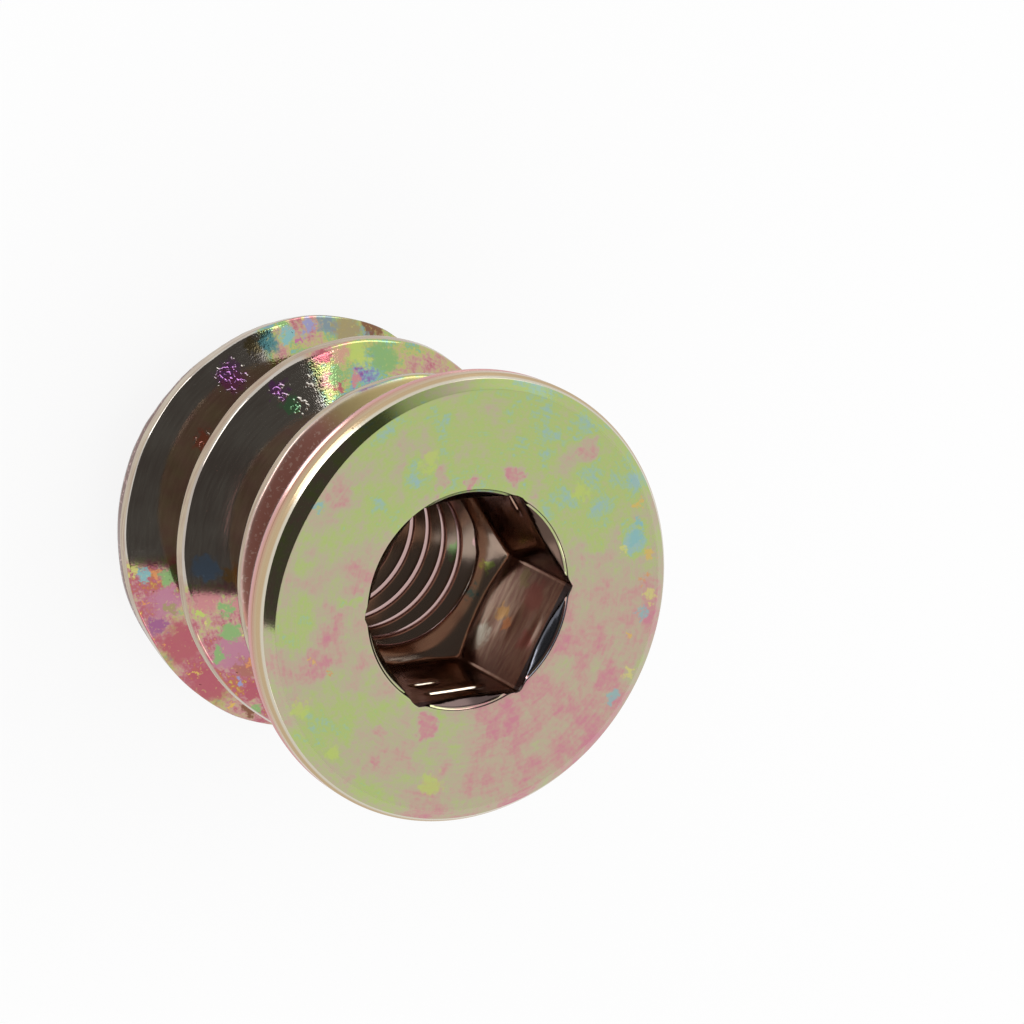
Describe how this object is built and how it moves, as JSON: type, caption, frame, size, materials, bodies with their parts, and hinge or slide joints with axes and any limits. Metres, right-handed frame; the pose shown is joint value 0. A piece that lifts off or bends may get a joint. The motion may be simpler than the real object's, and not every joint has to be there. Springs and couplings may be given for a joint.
{
  "type": "threaded insert",
  "caption": "Flanged hex-drive threaded insert for wood: coarse knife thread outside, metric machine thread inside.",
  "frame": {"origin": "centre of the pilot end's face, which the insert stands on", "axes": "+Z along the insert's axis, from the pilot end to the flange; two corners of the hexagon socket on the X axis"},
  "size_m": [0.0136, 0.0136, 0.013],
  "materials": {
    "insert": "yellow zinc passivated steel, satin flange face and bright thread flanks"
  },
  "bodies": {
    "root": {"insert": "insert"}
  },
  "joints": []
}
